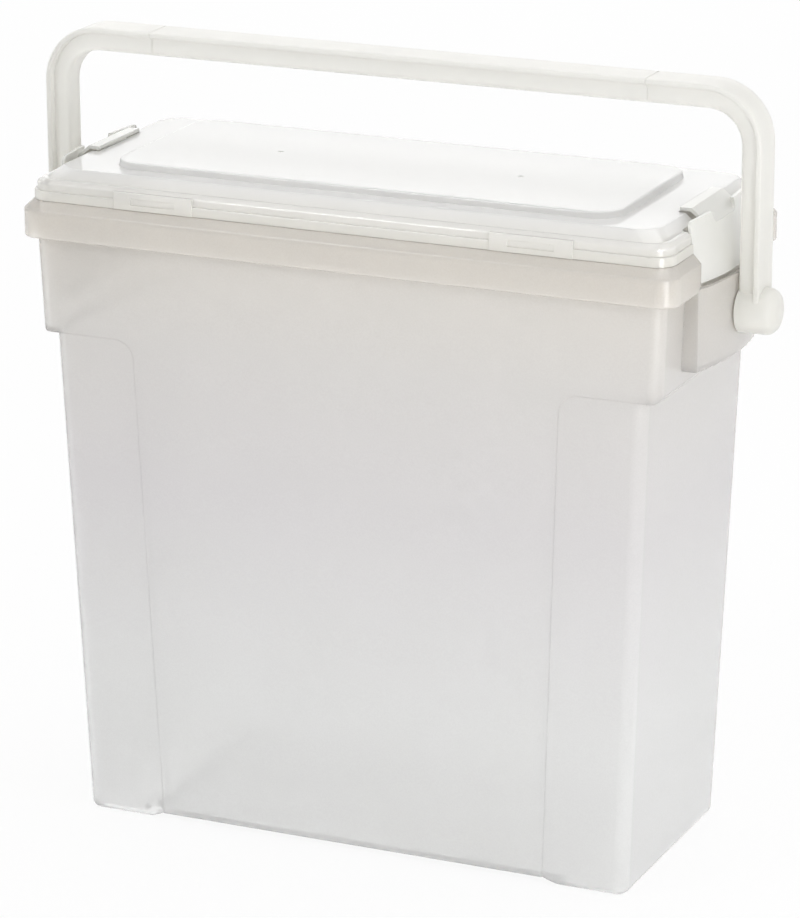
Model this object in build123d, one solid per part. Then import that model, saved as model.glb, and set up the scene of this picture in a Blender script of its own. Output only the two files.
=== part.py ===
from build123d import *
import os

# Portable scrapbook storage box: a tall drafted tub, a lift-off lid, one bail handle
# and a swing latch at each end. Millimetres, +Z up. The origin is the middle of the
# footprint: X runs along the long side, -Y is the front.

# Tub body. Heights near the mouth are measured from the top of the tub's rim, DROP
# below it and RISE above it, so that they follow the height of the tub.
BASE_LENGTH = 325.0
BASE_DEPTH = 140.4
TUB_HEIGHT = 354.2
END_DRAFT = 0.0371          # outward lean of an end wall, mm per mm of height
SIDE_DRAFT = 0.0256         # the same for the front and back walls
WALL = 2.2
FLOOR = 2.5
CORNER_RADIUS = 7.0
BOTTOM_ROUND = 4.0
STEP_DROP = 73.7            # where each end wall steps outwards
END_STEP = 8.0
STEP_ROUND = 4.0
STRIP_WIDTH = 48.0          # strip beside each lower corner, set back from the broad panel
STRIP_SETBACK = 0.6
STRIP_ROUND = 11.0
PROFILE_SLACK = 0.02        # keeps the step's rounding clear of the end wall's own face
FOOT_HEIGHT = 4.2
FOOT_LENGTH = 37.5
FOOT_RAMP = 10.0

# Rim round the mouth of the tub
RIM_DEPTH = 20.4
RIM_SLOPE = 4.8             # height of the slope above the upright outer face
RIM_OVERHANG_END = 6.8
RIM_OVERHANG_SIDE = 4.3
RIM_RADIUS = 11.0
RIM_SKIRT = 2.0
RIM_ROUND = 1.4

# Lid, every inset measured from the outer face of the rim
LID_GAP = 0.3
FLANGE_INSET = 4.3
FLANGE_TIER = 5.2           # height of the lower tier
FLANGE_LEDGE = 1.2          # width of the small ledge above it
FLANGE_RISE = 11.6
FLANGE_SHOULDER = 2.0       # height of the slope below its top
BEAD_INSET = 9.6            # inner edge of the flat crest on top of the flange
BEAD_WIDTH = 1.6
FIELD_INSET = 16.0
FIELD_RISE = 16.5
FIELD_RADIUS = 14.0
PLATEAU_END_INSET = 27.5    # from the edge of the field
PLATEAU_SIDE_INSET = 11.5
PLATEAU_RISE = 3.7
PLATEAU_RADIUS = 15.0
PLATEAU_LEAN = 0.8          # width of its sloping edge
LID_WALL = 2.0
FIELD_ROUND = 1.8
BEAD_ROUND = 1.6
PLATEAU_ROUND = 0.9
LEDGE_ROUND = 0.5
GATE_X = 71.0               # sprue marks on the plateau
GATE_RADIUS = 1.6
GATE_DEPTH = 0.3
PLUG_DEPTH = 8.0            # how far the lid reaches into the mouth
PLUG_GAP = 0.7
PLUG_END_SETBACK = 2.4      # extra room inside the latch recess
TAB_CENTRE = 109.5
TAB_LENGTH = 47.0
TAB_PROUD = 0.9
TAB_ROUND = 0.4
WINDOW_LENGTH = 26.0        # shallow window sunk in each tab
WINDOW_HEIGHT = 3.6
WINDOW_DEPTH = 0.6

# Bracket at each end, bowed in plan
BRACKET_HALF = 47.0
BRACKET_BOW = 6.3
BRACKET_DROP = 63.2
SILL_DROP = 18.2
BRACKET_WALL = 2.4
BRACKET_FLOOR = 3.0
CHEEK = 3.4
BRACKET_ROUND = 1.2

# Latch
LATCH_GAP = 0.7             # beside the plate
LATCH_BOW = 6.3             # at the foot of the plate
LATCH_TOP_BOW = 3.0
LATCH_SHEET = 2.2
LATCH_RISE = 16.4
LATCH_LEAN = 0.137          # inward lean of the plate, mm per mm of height
LATCH_SILL_GAP = 1.6
LATCH_INSET = 2.46          # outer face at its side edges, in from the rim, at the sill
LATCH_DIP = 6.0             # depth of the thumb notch in the top edge
LATCH_DIP_HALF = 16.0
LATCH_DIP_ROUND = 3.0
RECESS_SETBACK = 2.3        # tub wall behind the plate, in from the wall above
PIVOT_DROP = 36.2
BARREL_RADIUS = 2.6
BARREL_GAP = 1.7            # between the barrel and the tub wall behind it
BARREL_ROOM = 3.0           # below the barrel
LATCH_PIN_RADIUS = 2.0
PIN_FIT = 0.05
PIN_REACH = 2.2
SOCKET_END_GAP = 0.3
LEG_HALF = 37.0
LEG_SHEET = 2.0
HOOK_HALF = 24.0
HOOK_REACH = 3.7            # hook tip, in from the edge of the field
HOOK_LIP = 6.5
HOOK_RISE = 0.6             # under the hook, above the field
HOOK_SHEET = 1.8
HOOK_SETBACK = 0.3          # its outer end, in from the plate's outer face
HOOK_CLEAR = 0.3
HOOK_SIDE_GAP = 1.5
LATCH_WAY = 1.5             # extra room cut in the flange of the lid for the plate
SHELF = 2.0
SHELF_DROP = 2.6            # below the top of the rim
SHELF_MARGIN = 1.0          # shelf past the walls of the lid's notch
PLATE_ROUND = 3.0

# Bail handle
HUB_DROP = 38.9
HUB_RADIUS = 12.6
HUB_GAP = 0.8
ARM_SETBACK = 0.3           # inner face of an arm, out from the hub's
HUB_LENGTH = 14.6
DOME = 6.5
HANDLE_RISE = 82.1
GRIP_DEPTH = 13.6
ARM_DEPTH = 12.6
HANDLE_FLANGE = 22.0
HANDLE_FLANGE_SHEET = 3.3
HANDLE_WEB = 14.0
BEND_RADIUS = 32.0
STUD_RADIUS = 4.5
STUD_FIT = 0.06
STUD_HEAD = 5.4
STUD_HEAD_LENGTH = 2.6
STUD_HEAD_GAP = 0.4
HANDLE_ROUND = 1.1
WEB_ROUND = 2.0
SEAM_X = 145.0              # fine seam round the grip
SEAM_WIDTH = 0.5
SEAM_DEPTH = 0.3

OVER = 5.0                  # how far a cutting shape runs past what it cuts

# Heights above the foot
STEP_HEIGHT = TUB_HEIGHT - STEP_DROP
RIM_BOTTOM = TUB_HEIGHT - RIM_DEPTH
RIM_EDGE = TUB_HEIGHT - RIM_SLOPE
BRACKET_BOTTOM = TUB_HEIGHT - BRACKET_DROP
SILL_HEIGHT = TUB_HEIGHT - SILL_DROP
PIVOT_Z = TUB_HEIGHT - PIVOT_DROP
HUB_Z = TUB_HEIGHT - HUB_DROP
SHELF_TOP = TUB_HEIGHT - SHELF_DROP
LID_BOTTOM = TUB_HEIGHT + LID_GAP
FLANGE_TOP = TUB_HEIGHT + FLANGE_RISE
FIELD_TOP = TUB_HEIGHT + FIELD_RISE
LATCH_TOP = TUB_HEIGHT + LATCH_RISE
HANDLE_TOP = TUB_HEIGHT + HANDLE_RISE
PLATE_BOTTOM = SILL_HEIGHT + LATCH_SILL_GAP
RECESS_FOOT = PIVOT_Z - BARREL_RADIUS - BARREL_ROOM


def half_length(z):
    """Outer half length of the tub at height z."""
    step = END_STEP if z >= STEP_HEIGHT else 0.0
    return BASE_LENGTH / 2 + step + END_DRAFT * z


def half_depth(z):
    """Outer half depth of the tub at height z."""
    return BASE_DEPTH / 2 + SIDE_DRAFT * z


RIM_X = half_length(RIM_EDGE) + RIM_OVERHANG_END
RIM_Y = half_depth(RIM_EDGE) + RIM_OVERHANG_SIDE
BRACKET_EDGE_X = RIM_X
BRACKET_CROWN_X = RIM_X + BRACKET_BOW
RECESS_HALF = BRACKET_HALF - CHEEK
PLATE_HALF = RECESS_HALF - LATCH_GAP
RECESS_X = half_length(RIM_EDGE) - RECESS_SETBACK
PIVOT_X = RECESS_X + BARREL_RADIUS + BARREL_GAP
LATCH_EDGE_X = RIM_X - LATCH_INSET
HOOK_TIP = RIM_X - FIELD_INSET - HOOK_REACH
NOTCH_X = HOOK_TIP - HOOK_CLEAR
NOTCH_HALF = HOOK_HALF + HOOK_SIDE_GAP
HUB_INNER = BRACKET_CROWN_X + HUB_GAP
ARM_INNER = HUB_INNER + ARM_SETBACK
ARM_OUTER = ARM_INNER + ARM_DEPTH


def outline(x, y, radius, z):
    """Rounded rectangle of half sizes x and y at height z."""
    return Pos(0, 0, z) * RectangleRounded(2 * x, 2 * y, radius)


def tier(lower, upper):
    """Solid between two outlines."""
    return loft([lower, upper], ruled=True)


def block(x0, x1, half_y, z0, z1):
    """Box from x0 to x1 and z0 to z1, centred on Y."""
    centre = Pos((x0 + x1) / 2, 0, (z0 + z1) / 2)
    return centre * Box(x1 - x0, 2 * half_y, z1 - z0)


def bow_face(crown_x, edge_x, half_y, back_x, z):
    """Outline bowed outwards in plan, from a flat back at back_x."""
    front = ThreePointArc((edge_x, -half_y), (crown_x, 0), (edge_x, half_y))
    back = Polyline((edge_x, half_y), (back_x, half_y), (back_x, -half_y), (edge_x, -half_y))
    return Pos(0, 0, z) * make_face(front + back)


def bowed(crown_x, edge_x, half_y, back_x, z0, height):
    """Upright prism on a bowed outline."""
    return extrude(bow_face(crown_x, edge_x, half_y, back_x, z0), amount=height)


def latch_form(inset, half_y, back_x, rise):
    """Solid behind the face of the latch's plate, which leans in and grows flatter upwards."""
    foot = LATCH_EDGE_X - inset
    top = foot - LATCH_LEAN * rise
    bow = LATCH_BOW + (LATCH_TOP_BOW - LATCH_BOW) * rise / (LATCH_TOP - PLATE_BOTTOM)
    lower = bow_face(foot + LATCH_BOW, foot, half_y, back_x, PLATE_BOTTOM)
    return tier(lower, bow_face(top + bow, top, half_y, back_x, PLATE_BOTTOM + rise))


def rod_y(x, z, radius, y0, y1):
    """Round rod along Y."""
    return Pos(x, (y0 + y1) / 2, z) * Rot(90, 0, 0) * Cylinder(radius, y1 - y0)


def rod_x(z, radius, x0, x1):
    """Round rod along X, on the middle of an end."""
    return Pos((x0 + x1) / 2, 0, z) * Rot(0, 90, 0) * Cylinder(radius, x1 - x0)


def edges_on(shape, face):
    """Edges of the shape that lie on the outline of a face."""
    wire = face.wire()
    return [e for e in shape.edges() if all(wire.distance_to(e @ t) < 0.01 for t in (0.1, 0.5, 0.9))]


def both_ends(shape):
    """The shape at the right end with its mirror image at the left."""
    return [shape, mirror(shape, about=Plane.YZ)]


def front_profile(inset):
    """What stands at full depth, seen from the front: the upper band and the panel below it."""
    shoulder = STEP_HEIGHT + inset

    def end(z):
        return BASE_LENGTH / 2 + END_STEP + END_DRAFT * z - inset + PROFILE_SLACK

    def side(z):
        return BASE_LENGTH / 2 - STRIP_WIDTH + END_DRAFT * z - inset

    low, high = -OVER, TUB_HEIGHT + OVER
    right = [(side(low), low), (side(shoulder), shoulder), (end(shoulder), shoulder), (end(high), high)]
    left = [(-x, z) for x, z in reversed(right)]
    face = make_face(Polyline(*right, *left, close=True))
    outer = [v for v in face.vertices() if abs(v.Y - shoulder) < 0.01 and abs(v.X) > side(shoulder) + 1]
    face = fillet(outer, STEP_ROUND - inset)
    inner = [v for v in face.vertices() if abs(abs(v.X) - side(shoulder)) < 0.01 and v.Y > low + 1]
    return fillet(inner, STRIP_ROUND + inset)


def body_solid(inset, z_bottom):
    """The tub's outer form, moved inwards by inset."""
    def at(z, step, setback):
        x = BASE_LENGTH / 2 + END_DRAFT * z + step - inset
        return outline(x, half_depth(z) - setback - inset, CORNER_RADIUS, z)

    core = tier(at(z_bottom, 0.0, STRIP_SETBACK), at(TUB_HEIGHT, 0.0, STRIP_SETBACK))
    core = fillet(core.faces().sort_by(Axis.Z)[0].edges(), BOTTOM_ROUND)
    full = tier(at(z_bottom, END_STEP, 0.0), at(TUB_HEIGHT, END_STEP, 0.0))
    profile = Plane.XZ * front_profile(inset)
    return core + (full & extrude(profile, amount=BASE_DEPTH, both=True))


def foot_arch():
    """Space under the middle of the tub, between its two feet."""
    half = BASE_LENGTH / 2 - FOOT_LENGTH
    top = half - FOOT_RAMP
    profile = Polyline((-half, 0), (-top, FOOT_HEIGHT), (top, FOOT_HEIGHT), (half, 0), close=True)
    face = Plane.XZ * make_face(profile)
    return extrude(face, amount=BASE_DEPTH, both=True)


def rim_ring():
    """Rim with an upright face, a sloping top and a hollow underside."""
    edge = outline(RIM_X, RIM_Y, RIM_RADIUS, RIM_BOTTOM)
    shoulder = outline(RIM_X, RIM_Y, RIM_RADIUS, RIM_EDGE)
    top = outline(RIM_X - FLANGE_INSET, RIM_Y - FLANGE_INSET, RIM_RADIUS, TUB_HEIGHT)
    ring = tier(edge, shoulder) + tier(shoulder, top)
    ring = fillet(edges_on(ring, edge) + edges_on(ring, shoulder), RIM_ROUND)
    room_top = RIM_EDGE - RIM_SKIRT
    low = outline(RIM_X - RIM_SKIRT, RIM_Y - RIM_SKIRT, RIM_RADIUS - RIM_SKIRT, RIM_BOTTOM)
    high = outline(RIM_X - RIM_SKIRT, RIM_Y - RIM_SKIRT, RIM_RADIUS - RIM_SKIRT, room_top)
    return ring - tier(low, high)


def bracket():
    """Right-hand bowed bracket, solid, from its foot to the top of the rim."""
    height = SILL_HEIGHT - BRACKET_BOTTOM
    back = half_length(STEP_HEIGHT) - WALL / 2
    body = bowed(BRACKET_CROWN_X, BRACKET_EDGE_X, BRACKET_HALF, back, BRACKET_BOTTOM, height)
    foot = body.faces().sort_by(Axis.Z)[0].edges().sort_by(Axis.X)[1:]
    body = fillet(foot, BRACKET_ROUND)
    cheek = block(back, BRACKET_EDGE_X, BRACKET_HALF, SILL_HEIGHT, RIM_EDGE)
    return body + cheek


def latch_recess():
    """Room for the latch: an open notch above the sill and a pocket below it."""
    notch = block(RECESS_X, BRACKET_CROWN_X + OVER, RECESS_HALF, SILL_HEIGHT, TUB_HEIGHT + OVER)
    crown = BRACKET_CROWN_X - BRACKET_WALL
    edge = BRACKET_EDGE_X - BRACKET_WALL
    floor = BRACKET_BOTTOM + BRACKET_FLOOR
    height = SILL_HEIGHT - floor
    wall = half_length(RECESS_FOOT)
    pocket = bowed(crown, edge, RECESS_HALF, wall, floor, height)
    behind = block(RECESS_X, wall + WALL, RECESS_HALF, RECESS_FOOT, SILL_HEIGHT)
    return notch + pocket + behind


def recess_lining():
    """What the cavity leaves standing behind a recess, with a shelf under the hook."""
    lining = block(RECESS_X - WALL, RIM_X, RECESS_HALF + WALL, RECESS_FOOT - WALL, TUB_HEIGHT)
    reach = NOTCH_X - LID_WALL - SHELF_MARGIN
    half = NOTCH_HALF + LID_WALL + SHELF_MARGIN
    shelf = block(reach, RIM_X, half, SHELF_TOP - SHELF, SHELF_TOP)
    above = block(reach, RECESS_X - WALL, BRACKET_HALF, SHELF_TOP, TUB_HEIGHT)
    return lining + shelf - above


def make_tub():
    """Tub in one moulding, with feet, rim and both brackets."""
    outer = body_solid(0.0, 0.0) - foot_arch()
    cavity = body_solid(WALL, FLOOR)
    arch_floor = FOOT_HEIGHT + FLOOR
    rise = BASE_LENGTH / 2 - FOOT_LENGTH + WALL
    raised = block(-rise, rise, BASE_DEPTH, 0.0, arch_floor)
    linings = both_ends(recess_lining())
    for keep in [raised] + linings:
        cavity -= keep
    tub = outer + rim_ring()
    for end in both_ends(bracket()):
        tub += end
    tub -= cavity
    bore = rod_x(HUB_Z, STUD_RADIUS + STUD_FIT, BRACKET_EDGE_X - BRACKET_WALL, BRACKET_CROWN_X + OVER)
    reach = PLATE_HALF + PIN_REACH + SOCKET_END_GAP
    sockets = rod_y(PIVOT_X, PIVOT_Z, LATCH_PIN_RADIUS + PIN_FIT, -reach, reach)
    for cut in both_ends(latch_recess()) + both_ends(bore) + both_ends(sockets):
        tub -= cut
    return tub


def lid_form(inset, drop):
    """Outer form of the lid, moved in by inset and down by drop."""
    def at(setback, radius, z):
        return outline(RIM_X - setback - inset, RIM_Y - setback - inset, radius, z - drop)

    tier_top = LID_BOTTOM + FLANGE_TIER
    foot = at(FLANGE_INSET, RIM_RADIUS, LID_BOTTOM)
    ledge_out = at(FLANGE_INSET, RIM_RADIUS, tier_top)
    ledge_in = at(FLANGE_INSET + FLANGE_LEDGE, RIM_RADIUS, tier_top)
    side = at(FLANGE_INSET + FLANGE_LEDGE, RIM_RADIUS, FLANGE_TOP - FLANGE_SHOULDER)
    bead = at(BEAD_INSET - BEAD_WIDTH, RIM_RADIUS, FLANGE_TOP)
    crest = at(BEAD_INSET, RIM_RADIUS, FLANGE_TOP)
    field = at(FIELD_INSET, FIELD_RADIUS, FIELD_TOP)
    form = tier(foot, ledge_out) + tier(ledge_in, side) + tier(side, bead) + tier(crest, field)
    if inset:
        return form
    form = fillet(edges_on(form, field), FIELD_ROUND)
    form = fillet(edges_on(form, bead) + edges_on(form, side), BEAD_ROUND)
    return fillet(edges_on(form, ledge_out), LEDGE_ROUND)


def plateau(inset, drop):
    """Raised middle of the lid."""
    x = RIM_X - FIELD_INSET - PLATEAU_END_INSET - inset
    y = RIM_Y - FIELD_INSET - PLATEAU_SIDE_INSET - inset
    top = outline(x, y, PLATEAU_RADIUS, FIELD_TOP + PLATEAU_RISE - drop)
    lean = PLATEAU_LEAN
    rise = tier(outline(x + lean, y + lean, PLATEAU_RADIUS, FIELD_TOP - drop - FIELD_ROUND), top)
    if inset:
        return rise
    return fillet(edges_on(rise, top), PLATEAU_ROUND)


def lid_tab(x, side):
    """Thicker pad on the front or back of the flange."""
    y = side * (RIM_Y - FLANGE_INSET - LID_WALL / 2 + TAB_PROUD / 2)
    height = FLANGE_TOP - BEAD_ROUND - LID_BOTTOM
    deep = LID_WALL + TAB_PROUD
    pad = Box(TAB_LENGTH, deep, height)
    front = pad.faces().sort_by(Axis.Y)[0 if side < 0 else -1]
    pad = fillet(front.edges(), TAB_ROUND)
    pad -= Pos(0, side * deep / 2, 0) * Box(WINDOW_LENGTH, 2 * WINDOW_DEPTH, WINDOW_HEIGHT)
    return Pos(x, y, LID_BOTTOM + height / 2) * pad


def hook_notch(grow, z0):
    """Place where a hook reaches over the lid, grown by grow."""
    return block(NOTCH_X - grow, RIM_X + OVER, NOTCH_HALF + grow, z0, FIELD_TOP + OVER)


def make_lid():
    """Lid shell with its plug ring, latch notches and grip tabs."""
    outer = lid_form(0.0, 0.0) + plateau(0.0, 0.0)
    room = lid_form(LID_WALL, LID_WALL) + plateau(LID_WALL, LID_WALL)
    for side in both_ends(hook_notch(LID_WALL, LID_BOTTOM)):
        room -= side
    lid = outer - room
    plug_x = half_length(TUB_HEIGHT) - WALL - PLUG_GAP - PLUG_END_SETBACK
    plug_y = half_depth(TUB_HEIGHT - PLUG_DEPTH) - WALL - PLUG_GAP
    bottom = TUB_HEIGHT - PLUG_DEPTH
    tall = FLANGE_TOP - LID_WALL / 2 - bottom
    ring = extrude(outline(plug_x, plug_y, CORNER_RADIUS, bottom), amount=tall)
    hole = outline(plug_x - LID_WALL, plug_y - LID_WALL, CORNER_RADIUS - LID_WALL, bottom)
    ring -= extrude(hole, amount=tall)
    for side in both_ends(hook_notch(LID_WALL + SHELF_MARGIN + PLUG_GAP, bottom - OVER)):
        ring -= side
    lid += ring
    for side in both_ends(hook_notch(LID_WALL, SHELF_TOP + LID_GAP)):
        lid += side & extrude(outline(plug_x, plug_y, CORNER_RADIUS, bottom), amount=tall)
    for x in (-TAB_CENTRE, TAB_CENTRE):
        for side in (-1, 1):
            lid += lid_tab(x, side)
    flange_cut = block(RECESS_X - LATCH_WAY, RIM_X + OVER, RECESS_HALF + LATCH_GAP,
                       LID_BOTTOM - OVER, FIELD_TOP)
    for cut in both_ends(hook_notch(0.0, bottom)) + both_ends(flange_cut):
        lid -= cut
    for x in (-GATE_X, GATE_X):
        mark = Cylinder(GATE_RADIUS, 2 * GATE_DEPTH)
        lid -= Pos(x, 0, FIELD_TOP + PLATEAU_RISE) * mark
    return lid


def make_latch():
    """Right-hand latch: bowed plate, hook over the lid, leg, barrel and pins."""
    height = LATCH_TOP - PLATE_BOTTOM
    leg_x = PIVOT_X - LEG_SHEET / 2
    form = latch_form(0.0, PLATE_HALF, HOOK_TIP, height)
    plate = form - latch_form(LATCH_SHEET, PLATE_HALF + OVER, HOOK_TIP - OVER, height)
    low = LATCH_TOP - LATCH_DIP
    dip = Plane.YZ * Pos(0, LATCH_TOP) * RectangleRounded(2 * LATCH_DIP_HALF, 2 * LATCH_DIP, LATCH_DIP_ROUND)
    plate -= extrude(dip, amount=RIM_X + OVER)
    corners = [e for e in plate.edges().filter_by(GeomType.LINE)
               if e.center().Z > LATCH_TOP - 0.01 and abs(e.center().Y) > PLATE_HALF - 0.01]
    plate = fillet(corners, PLATE_ROUND)
    foot = form & block(leg_x, RIM_X + LATCH_BOW, LEG_HALF, PLATE_BOTTOM, PLATE_BOTTOM + LATCH_SHEET)
    leg = block(leg_x, leg_x + LEG_SHEET, LEG_HALF, PIVOT_Z, PLATE_BOTTOM + LATCH_SHEET)
    barrel = rod_y(PIVOT_X, PIVOT_Z, BARREL_RADIUS, -PLATE_HALF, PLATE_HALF)
    pins = rod_y(PIVOT_X, PIVOT_Z, LATCH_PIN_RADIUS, -PLATE_HALF - PIN_REACH, PLATE_HALF + PIN_REACH)
    top = FIELD_TOP + HOOK_RISE + HOOK_SHEET
    knee = HOOK_TIP + HOOK_LIP
    edge = LATCH_EDGE_X + LATCH_TOP_BOW - LATCH_LEAN * (low - PLATE_BOTTOM)
    ramp = Polyline((HOOK_TIP, top), (knee, top), (edge, low), (edge, low - HOOK_SHEET),
                    (knee - HOOK_SHEET / 3, top - HOOK_SHEET), (HOOK_TIP, top - HOOK_SHEET), close=True)
    hook = extrude(Plane.XZ * make_face(ramp), amount=HOOK_HALF, both=True)
    limit = latch_form(HOOK_SETBACK, PLATE_HALF, HOOK_TIP - OVER, height + OVER)
    return plate + foot + leg + barrel + pins + (hook & limit)


def bail(outer_x, outer_z, inner_x, inner_z, outer_r, width):
    """U-shaped band, width wide along Y, between two rounded outlines."""
    inner_r = outer_r - (outer_x - inner_x + outer_z - inner_z) / 2

    def half_window(x, z, radius):
        tall = 2 * (z - HUB_Z)
        return Plane.XZ * Pos(0, HUB_Z) * RectangleRounded(2 * x, tall, radius)

    band = half_window(outer_x, outer_z, outer_r) - half_window(inner_x, inner_z, inner_r)
    band = extrude(band, amount=width / 2, both=True)
    return band - block(-outer_x, outer_x, width, 0.0, HUB_Z)


def both_seams(top):
    """Fine groove round the grip, near each end."""
    depth = 2 * SEAM_DEPTH
    low = top - GRIP_DEPTH
    slab = block(0, SEAM_WIDTH, HANDLE_FLANGE, low - 1, top + 1)
    cap = block(0, SEAM_WIDTH, (HANDLE_FLANGE - depth) / 2, top - HANDLE_FLANGE_SHEET, top - SEAM_DEPTH)
    web = block(0, SEAM_WIDTH, (HANDLE_WEB - depth) / 2, low + SEAM_DEPTH, top - SEAM_DEPTH)
    groove = Pos(SEAM_X, 0, 0) * (slab - cap - web)
    return groove + mirror(groove, about=Plane.YZ)


def make_handle():
    """Bail handle: a T-section bail with a hub and a snap-in stud at each end."""
    sheet = HANDLE_FLANGE_SHEET
    top = HANDLE_TOP
    flange = bail(ARM_OUTER, top, ARM_OUTER - sheet, top - sheet, BEND_RADIUS, HANDLE_FLANGE)
    rims = [e for e in flange.edges() if abs(e.center().Y) > HANDLE_FLANGE / 2 - 0.01]
    flange = fillet([e for e in rims if e.center().Z > HUB_Z + 0.01], HANDLE_ROUND)
    web = bail(ARM_OUTER - sheet / 2, top - sheet / 2, ARM_INNER, top - GRIP_DEPTH,
               BEND_RADIUS - sheet / 2, HANDLE_WEB)
    inner = [e for e in web.edges() if abs(e.center().Y) > HANDLE_WEB / 2 - 0.01]
    inner = [e for e in inner if HUB_Z + 0.01 < e.center().Z < top - sheet
             and abs(e.center().X) < (ARM_INNER + ARM_OUTER) / 2 - sheet / 2]
    handle = flange + fillet(inner, WEB_ROUND) - both_seams(top)
    neck_in = BRACKET_CROWN_X - BRACKET_WALL - STUD_HEAD_GAP
    hub_end = HUB_INNER + HUB_LENGTH
    hub = rod_x(HUB_Z, HUB_RADIUS, HUB_INNER, hub_end + DOME)
    hub = fillet(hub.faces().sort_by(Axis.X)[-1].edges(), DOME)
    neck = rod_x(HUB_Z, STUD_RADIUS, neck_in - STUD_HEAD_LENGTH, HUB_INNER + 1)
    head = rod_x(HUB_Z, STUD_HEAD, neck_in - STUD_HEAD_LENGTH, neck_in)
    for end in both_ends(hub + neck + head):
        handle += end
    return handle


def save(shape, node):
    """Write one piece to its own file."""
    solids = shape.solids()
    print(node, len(solids), "solid", round(sum(s.volume for s in solids) / 1000, 1), "cm3")
    whole = solids[0] if len(solids) == 1 else Compound(solids)
    export_step(whole, "parts/" + node + ".step")


os.makedirs("parts", exist_ok=True)
save(make_tub(), "tub")
save(make_lid(), "lid")
save(make_handle(), "handle")
right_latch = make_latch()
save(right_latch, "right_latch")
save(mirror(right_latch, about=Plane.YZ), "left_latch")
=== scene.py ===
"""Studio picture of a portable storage box for large craft sheets, moulded in natural polypropylene."""
import logging
import math
from abc import ABC, abstractmethod
from dataclasses import dataclass, field
from enum import Enum

import bpy
import bmesh
from mathutils import Matrix, Vector


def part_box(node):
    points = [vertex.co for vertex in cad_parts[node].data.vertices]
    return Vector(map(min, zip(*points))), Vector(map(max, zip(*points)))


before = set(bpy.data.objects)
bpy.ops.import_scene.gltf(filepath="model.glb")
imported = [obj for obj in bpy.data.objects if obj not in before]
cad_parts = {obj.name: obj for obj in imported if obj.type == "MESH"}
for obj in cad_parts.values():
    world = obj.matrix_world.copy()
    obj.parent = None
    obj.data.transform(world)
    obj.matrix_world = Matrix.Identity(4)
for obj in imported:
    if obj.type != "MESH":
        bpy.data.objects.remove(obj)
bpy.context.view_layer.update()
LOG = logging.getLogger("storage_box")
MM = 0.001
WHITE = (1.0, 1.0, 1.0, 1.0)


def linear(hex_colour: str) -> tuple[float, float, float, float]:
    """Turn an sRGB hex colour into linear values.

    Args:
        hex_colour: six hex digits after a hash.

    Returns:
        Linear red, green and blue, and an alpha of 1.
    """
    parts = [int(hex_colour[i:i + 2], 16) / 255 for i in (1, 3, 5)]
    red, green, blue = [c / 12.92 if c <= 0.04045 else ((c + 0.055) / 1.055) ** 2.4 for c in parts]
    return red, green, blue, 1.0


def add_node(tree: bpy.types.NodeTree, kind: str, inputs: dict | None = None, **settings) -> bpy.types.Node:
    """Add a node, set its properties, and set or link its inputs.

    Args:
        tree: the node tree.
        kind: the node's type name.
        inputs: socket name or index to a value, or to an output socket to link from.
        **settings: properties of the node.

    Returns:
        The new node.
    """
    node = tree.nodes.new(kind)
    for name, value in settings.items():
        setattr(node, name, value)
    for key, value in (inputs or {}).items():
        if isinstance(value, bpy.types.NodeSocket):
            tree.links.new(value, node.inputs[key])
        else:
            node.inputs[key].default_value = value
    return node


def empty_tree(owner: bpy.types.Material | bpy.types.World) -> bpy.types.NodeTree:
    """Switch on the owner's node tree and empty it.

    Args:
        owner: a material or a world.

    Returns:
        The empty tree.
    """
    owner.use_nodes = True
    owner.node_tree.nodes.clear()
    return owner.node_tree


class MouldFace(Enum):
    """How the steel of the mould was finished: width and depth of the grain that it leaves, in mm.

    Real spark and satin grain is finer than the picture can show, so both are drawn coarser.
    """

    SPARKED = (0.9, 0.035)
    SATIN = (0.7, 0.012)
    POLISHED = (3.0, 0.006)

    @property
    def width_mm(self) -> float:
        """Width of the grain."""
        return self.value[0]

    @property
    def depth_mm(self) -> float:
        """Depth of the grain."""
        return self.value[1]


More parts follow.
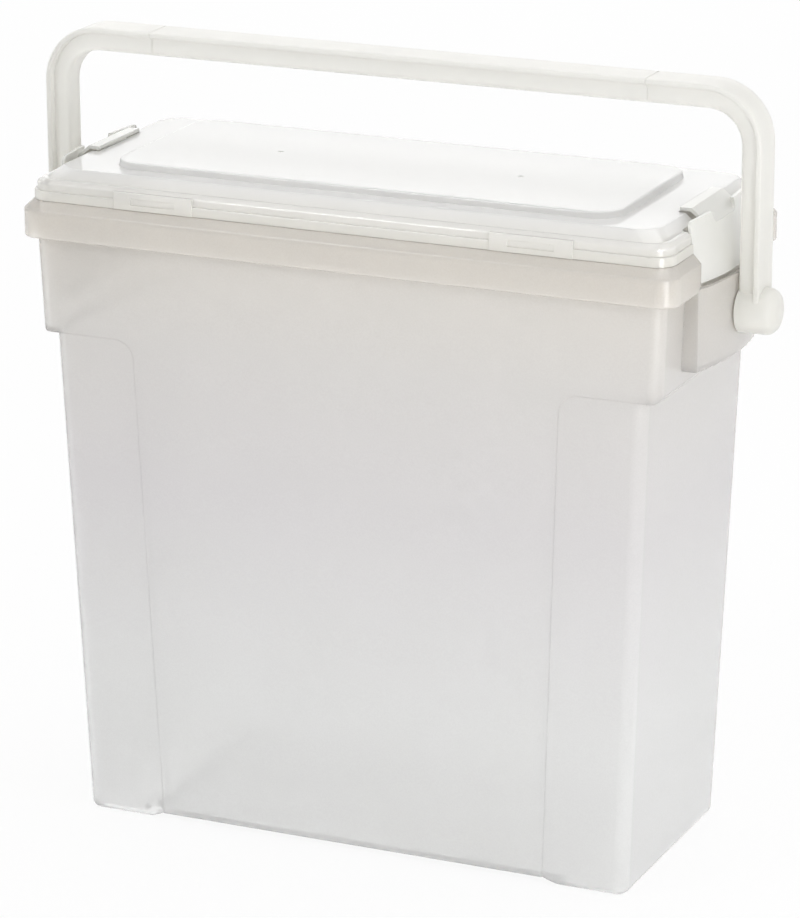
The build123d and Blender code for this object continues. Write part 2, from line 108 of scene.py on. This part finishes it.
@dataclass(frozen=True)
class Polypropylene:
    """Moulded natural polypropylene: its shades from low to high (partly its own tint, partly painted light
    and shade), how clear it is, and its skin.
    """

    name: str
    shades: tuple[str, ...]
    clearness: float
    roughness: float
    face: MouldFace
    flow_mm: float
    edge_mm: float
    streak: str = "#F6F6F2"
    streak_share: float = 0.25
    speckle: float = 0.004
    roughness_spread: float = 0.03
    ripple_depth_mm: float = 0.05
    specular: float = 0.5
    ior: float = 1.49
    flow_detail: float = 3.0
    grain_detail: float = 2.0
    pit_low: float = 0.35
    pit_high: float = 0.65
    edge_samples: int = 4

    def tone(self, tree: bpy.types.NodeTree, heights: tuple[float, ...], place: bpy.types.NodeSocket,
             flow: bpy.types.NodeSocket, grain: bpy.types.NodeSocket) -> bpy.types.NodeSocket:
        """Colour that follows the height, partly the plastic's own tint and partly painted light and shade,
        with faint streaks of flow and the grain's own speckle.

        Args:
            tree: the material's node tree.
            heights: the height of each shade in mm, lowest first.
            place: object coordinates.
            flow: the noise of the melt's flow, from 0 to 1.
            grain: the noise of the mould's grain, from 0 to 1.

        Returns:
            The socket that holds the colour.
        """
        low, high = heights[0], heights[-1]
        height = add_node(tree, "ShaderNodeSeparateXYZ", {"Vector": place}).outputs["Z"]
        share = add_node(tree, "ShaderNodeMapRange", {
            "Value": height,
            "From Min": low * MM,
            "From Max": high * MM,
        })
        ramp = add_node(tree, "ShaderNodeValToRGB", {"Fac": share.outputs["Result"]})
        stops = ramp.color_ramp.elements
        for index, (level, colour) in enumerate(zip(heights, self.shades)):
            stop = stops[index] if index < 2 else stops.new(1.0)
            stop.position = (level - low) / (high - low)
            stop.color = linear(colour)
        streaks = add_node(tree, "ShaderNodeMath", {0: flow, 1: self.streak_share}, operation="MULTIPLY")
        mixed = add_node(tree, "ShaderNodeMix", {
            "Factor": streaks.outputs["Value"],
            "A": ramp.outputs["Color"],
            "B": linear(self.streak),
        }, data_type="RGBA")
        pits = add_node(tree, "ShaderNodeMapRange", {
            "Value": grain,
            "From Min": self.pit_low,
            "From Max": self.pit_high,
            "To Min": 1 - self.speckle,
            "To Max": 1.0,
        })
        speckled = add_node(tree, "ShaderNodeVectorMath", {
            0: mixed.outputs["Result"],
            "Scale": pits.outputs["Result"],
        }, operation="SCALE")
        return speckled.outputs["Vector"]

    def relief(self, tree: bpy.types.NodeTree, flow: bpy.types.NodeSocket,
               grain: bpy.types.NodeSocket) -> bpy.types.NodeSocket:
        """Normal with soft edges, slow sink ripples and the grain of the mould.

        Args:
            tree: the material's node tree.
            flow: the noise of the melt's flow, from 0 to 1.
            grain: the noise of the mould's grain, from 0 to 1.

        Returns:
            The socket that holds the normal.
        """
        edge = add_node(tree, "ShaderNodeBevel", {"Radius": self.edge_mm * MM}, samples=self.edge_samples)
        ripple = add_node(tree, "ShaderNodeBump", {
            "Height": flow,
            "Strength": 1.0,
            "Distance": self.ripple_depth_mm * MM,
            "Normal": edge.outputs["Normal"],
        })
        skin = add_node(tree, "ShaderNodeBump", {
            "Height": grain,
            "Strength": 1.0,
            "Distance": self.face.depth_mm * MM,
            "Normal": ripple.outputs["Normal"],
        })
        return skin.outputs["Normal"]

    def make(self, heights: tuple[float, ...]) -> bpy.types.Material:
        """Build the material.

        Args:
            heights: the height of each shade in mm, lowest first.

        Returns:
            The finished material.
        """
        material = bpy.data.materials.new(self.name)
        tree = empty_tree(material)
        place = add_node(tree, "ShaderNodeTexCoord").outputs["Object"]
        melt = add_node(tree, "ShaderNodeTexNoise", {
            "Vector": place,
            "Scale": 1 / (self.flow_mm * MM),
            "Detail": self.flow_detail,
        })
        flow = melt.outputs["Fac"]
        steel = add_node(tree, "ShaderNodeTexNoise", {
            "Vector": place,
            "Scale": 1 / (self.face.width_mm * MM),
            "Detail": self.grain_detail,
        })
        grain = steel.outputs["Fac"]
        gloss = add_node(tree, "ShaderNodeMapRange", {
            "Value": flow,
            "To Min": self.roughness - self.roughness_spread,
            "To Max": self.roughness + self.roughness_spread,
        })
        shader = add_node(tree, "ShaderNodeBsdfPrincipled", {
            "Base Color": self.tone(tree, heights, place, flow, grain),
            "Roughness": gloss.outputs["Result"],
            "IOR": self.ior,
            "Transmission Weight": self.clearness,
            "Specular IOR Level": self.specular,
            "Normal": self.relief(tree, flow, grain),
        })
        add_node(tree, "ShaderNodeOutputMaterial", {"Surface": shader.outputs["BSDF"]})
        return material


# Natural polypropylene from a spark-finished mould: an even milky veil, so that what is
# behind a wall shows only as a soft change of tone. It is faintly yellow in the rim and
# brackets and neutral in the walls. Its lightest shade, at the foot, stands in for light
# that comes up through the floor of the tub.
SPARKED_NATURAL = Polypropylene(
    name="sparked_natural_polypropylene",
    shades=("#FFFFFF", "#FFFFFF", "#F8F6F7", "#F9F7F5", "#FDF9F3"),
    clearness=0.62,
    roughness=0.22,
    face=MouldFace.SPARKED,
    flow_mm=60.0,
    edge_mm=1.2,
    speckle=0.03,
)

# Clarified polypropylene from a polished mould: bright lines along the edges, with a
# trace of haze in the sheet.
POLISHED_CLEAR = Polypropylene(
    name="polished_clarified_polypropylene",
    # The flat top panel is a shade darker than the field: painted shade that holds back the light of the
    # lamp overhead.
    shades=("#FEFCF6", "#FEFDFA", "#FFFFFF", "#FBFBFA"),
    clearness=0.5,
    roughness=0.08,
    face=MouldFace.POLISHED,
    flow_mm=45.0,
    edge_mm=0.4,
    streak="#FCFCFA",
)

# Natural polypropylene in deep sections from a satin mould: whiter than the walls,
# because more of it scatters the light.
SATIN_NATURAL = Polypropylene(
    name="satin_natural_polypropylene",
    # The grip is a shade darker than the hubs: painted shade on the top of the grip, where the lamp
    # overhead falls strongest.
    shades=("#FBFAF5", "#F7F6F2"),
    clearness=0.45,
    roughness=0.36,
    face=MouldFace.SATIN,
    flow_mm=40.0,
    edge_mm=0.6,
)

# Thin natural polypropylene with a smooth face: milky, with a soft shine.
SMOOTH_NATURAL = Polypropylene(
    name="smooth_natural_polypropylene",
    shades=("#FEFDF9", "#FEFEFB"),
    clearness=0.38,
    roughness=0.20,
    face=MouldFace.SATIN,
    flow_mm=30.0,
    edge_mm=0.5,
)


@dataclass
class Moulding(ABC):
    """One moulding of the box: its node and the plastic that it is moulded in."""

    node: str
    plastic: Polypropylene

    @abstractmethod
    def heights(self) -> tuple[float, ...]:
        """The heights in mm that the plastic's shades belong to, lowest first."""

    def dress(self) -> None:
        """Give every face of the moulding its plastic."""
        skin = bpy.data.materials.get(self.plastic.name) or self.plastic.make(self.heights())
        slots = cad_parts[self.node].data.materials
        slots.clear()
        slots.append(skin)

    def report(self) -> None:
        """Log the moulding's size and plastic."""
        low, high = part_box(self.node)
        size = " x ".join("%.1f" % ((b - a) / MM) for a, b in zip(low, high))
        LOG.info("%s: %s mm, %s", self.node, size, self.plastic.name)

    def build(self) -> None:
        """Dress the moulding and report it."""
        self.dress()
        self.report()


@dataclass
class Tub(Moulding):
    """The drafted tub with its feet, end steps, hollow rim and bowed brackets."""

    node: str = "tub"
    plastic: Polypropylene = SPARKED_NATURAL
    foot_mm: float = 0.0
    lower_wall_mm: float = 85.0
    panel_mm: float = 200.0
    step_mm: float = 280.0
    rim_mm: float = 345.0

    def heights(self) -> tuple[float, ...]:
        """The foot, the lower wall, the broad panel, the end step and the rim."""
        return self.foot_mm, self.lower_wall_mm, self.panel_mm, self.step_mm, self.rim_mm


@dataclass
class Lid(Moulding):
    """The lift-off lid with its flange, hook notches and raised panel."""

    node: str = "lid"
    plastic: Polypropylene = POLISHED_CLEAR
    flange_mm: float = 354.0
    bead_mm: float = 366.0
    field_mm: float = 371.0
    panel_mm: float = 374.4

    def heights(self) -> tuple[float, ...]:
        """The flange, the bead on it, the raised field and the flat panel."""
        return self.flange_mm, self.bead_mm, self.field_mm, self.panel_mm


@dataclass
class BailHandle(Moulding):
    """The bail handle with its grip, arms, hubs and studs."""

    node: str = "handle"
    plastic: Polypropylene = SATIN_NATURAL
    hub_mm: float = 300.0
    grip_mm: float = 440.0

    def heights(self) -> tuple[float, ...]:
        """The hubs and the top of the grip."""
        return self.hub_mm, self.grip_mm


class End(Enum):
    """The end of the box that a latch closes, by the latch's node."""

    RIGHT = "right_latch"
    LEFT = "left_latch"


@dataclass
class EndLatch(Moulding):
    """The latch plate of one end with its hook, leg, barrel and pins."""

    node: str = field(init=False)
    plastic: Polypropylene = SMOOTH_NATURAL
    end: End = End.RIGHT
    leg_mm: float = 300.0
    hook_mm: float = 380.0

    def __post_init__(self) -> None:
        """Take the node that belongs to the end."""
        self.node = self.end.value

    def heights(self) -> tuple[float, ...]:
        """The foot of the leg and the top of the hook."""
        return self.leg_mm, self.hook_mm


@dataclass(frozen=True)
class SoftBox:
    """One square lamp: its place and width in metres, its power in watts, and what sees it."""

    name: str
    place: tuple[float, float, float]
    size: float
    power: float
    diffuse: bool = True
    through: bool = True

    def hang(self, target: Vector) -> None:
        """Add the lamp. Unless told otherwise, it lights matt surfaces and shows through clear ones.

        Args:
            target: the point that it looks at.
        """
        data = bpy.data.lights.new(self.name, "AREA")
        data.shape = "SQUARE"
        data.size = self.size
        data.energy = self.power
        lamp = bpy.data.objects.new(self.name, data)
        bpy.context.scene.collection.objects.link(lamp)
        place = Vector(self.place)
        lamp.location = place
        lamp.rotation_euler = (target - place).to_track_quat("-Z", "Y").to_euler()
        lamp.visible_camera = False
        lamp.visible_diffuse = self.diffuse
        lamp.visible_transmission = self.through


@dataclass
class Studio:
    """White floor, soft lamps and the camera at the photograph's angle."""

    floor_half: float = 6.0
    floor_white: float = 0.92
    floor_glow: float = 0.9
    world_light: float = 0.76
    clear_bounces: int = 32
    diffuse_bounces: int = 12
    cutout_bounces: int = 8
    target: Vector = field(default_factory=lambda: Vector((0.0, 0.0, 0.2)))
    azimuth: float = 24.0986
    elevation: float = 17.4779
    roll: float = -0.1512
    distance: float = 2.42503
    shift_right: float = -0.000199
    shift_up: float = 0.006757
    focal_px: float = 4388.05
    picture_px: int = 918
    sensor_mm: float = 36.0
    nearest: float = 0.05
    farthest: float = 50.0
    boxes: tuple[SoftBox, ...] = (
        SoftBox("key_box", (-1.2, -1.6, 2.2), 0.6, 7.5),
        SoftBox("top_box", (0.3, 0.4, 2.2), 1.4, 8.0),
        SoftBox("side_box", (2.2, -0.4, 1.0), 0.6, 5.6),
        SoftBox("low_box", (0.85, -0.7, 0.08), 0.4, 3.4, through=False),
        SoftBox("back_box", (-1.0, 2.2, 1.1), 1.8, 5.0),
        SoftBox("shine_box", (-0.94, -2.18, 0.79), 0.3, 8.0, diffuse=False, through=False),
    )

    def camera(self) -> None:
        """Place the camera that matches the photograph."""
        az, el, roll = (math.radians(a) for a in (self.azimuth, self.elevation, self.roll))
        back = Vector((math.sin(az) * math.cos(el), -math.cos(az) * math.cos(el), math.sin(el)))
        right = Vector((math.cos(az), math.sin(az), 0.0))
        up = back.cross(right)
        right_rolled = right * math.cos(roll) + up * math.sin(roll)
        up_rolled = up * math.cos(roll) - right * math.sin(roll)
        data = bpy.data.cameras.new("photo_camera")
        data.sensor_width = self.sensor_mm
        data.lens = self.focal_px / self.picture_px * self.sensor_mm
        data.clip_start = self.nearest
        data.clip_end = self.farthest
        camera = bpy.data.objects.new("photo_camera", data)
        bpy.context.scene.collection.objects.link(camera)
        place = self.target + back * self.distance
        place = place + right_rolled * self.shift_right + up_rolled * self.shift_up
        turn = Matrix((right_rolled, up_rolled, back)).transposed().to_4x4()
        camera.matrix_world = Matrix.Translation(place) @ turn
        bpy.context.scene.camera = camera

    def seen_directly(self, tree: bpy.types.NodeTree) -> bpy.types.NodeSocket:
        """1 for rays from the camera, from a gloss or through clear plastic, 0 for diffuse light.

        Args:
            tree: the node tree that asks.

        Returns:
            The socket that holds the answer.
        """
        ray = add_node(tree, "ShaderNodeLightPath").outputs
        straight = add_node(tree, "ShaderNodeMath", {
            0: ray["Is Camera Ray"],
            1: ray["Is Glossy Ray"],
        }, operation="MAXIMUM")
        total = add_node(tree, "ShaderNodeMath", {
            0: straight.outputs["Value"],
            1: ray["Is Transmission Ray"],
        }, operation="MAXIMUM")
        return total.outputs["Value"]

    def floor(self) -> None:
        """White floor that keeps a soft shadow and reads as white where it is only seen."""
        material = bpy.data.materials.new("studio_white")
        material.cycles.emission_sampling = "NONE"
        tree = empty_tree(material)
        white = add_node(tree, "ShaderNodeEmission", {"Color": WHITE, "Strength": 1.0})
        grey = self.floor_white
        paint = add_node(tree, "ShaderNodeBsdfDiffuse", {"Color": (grey, grey, grey, 1.0)})
        share = add_node(tree, "ShaderNodeMath", {
            0: self.seen_directly(tree),
            1: self.floor_glow,
        }, operation="MULTIPLY")
        mix = add_node(tree, "ShaderNodeMixShader", {
            "Fac": share.outputs["Value"],
            1: paint.outputs["BSDF"],
            2: white.outputs["Emission"],
        })
        add_node(tree, "ShaderNodeOutputMaterial", {"Surface": mix.outputs["Shader"]})
        shape = bmesh.new()
        bmesh.ops.create_grid(shape, x_segments=1, y_segments=1, size=self.floor_half)
        mesh = bpy.data.meshes.new("floor")
        shape.to_mesh(mesh)
        shape.free()
        floor = bpy.data.objects.new("floor", mesh)
        bpy.context.scene.collection.objects.link(floor)
        mesh.materials.append(material)

    def world(self) -> None:
        """Even white surroundings: full white where seen, a plain level as a light."""
        world = bpy.data.worlds.new("studio")
        world.cycles.sampling_method = "NONE"
        bpy.context.scene.world = world
        tree = empty_tree(world)
        level = add_node(tree, "ShaderNodeMapRange", {
            "Value": self.seen_directly(tree),
            "To Min": self.world_light,
            "To Max": 1.0,
        })
        sky = add_node(tree, "ShaderNodeBackground", {"Color": WHITE, "Strength": level.outputs["Result"]})
        add_node(tree, "ShaderNodeOutputWorld", {"Surface": sky.outputs["Background"]})

    def lamps(self) -> None:
        """Hang every soft box."""
        for box in self.boxes:
            box.hang(self.target)

    def light_paths(self) -> None:
        """Let light pass the many thin walls that lie behind each other."""
        scene = bpy.context.scene
        scene.view_settings.view_transform = "Standard"
        scene.cycles.max_bounces = self.clear_bounces
        scene.cycles.transmission_bounces = self.clear_bounces
        scene.cycles.glossy_bounces = self.clear_bounces
        scene.cycles.diffuse_bounces = self.diffuse_bounces
        scene.cycles.transparent_max_bounces = self.cutout_bounces

    def build(self) -> None:
        """Set up the whole studio."""
        self.camera()
        self.floor()
        self.world()
        self.lamps()
        self.light_paths()


def main() -> None:
    """Set up the studio, then dress every moulding and log its size and plastic."""
    logging.basicConfig(level=logging.INFO, format="%(message)s")
    Studio().build()
    for moulding in (Tub(), Lid(), BailHandle(), EndLatch(end=End.RIGHT), EndLatch(end=End.LEFT)):
        moulding.build()


if __name__ == "__main__":
    main()
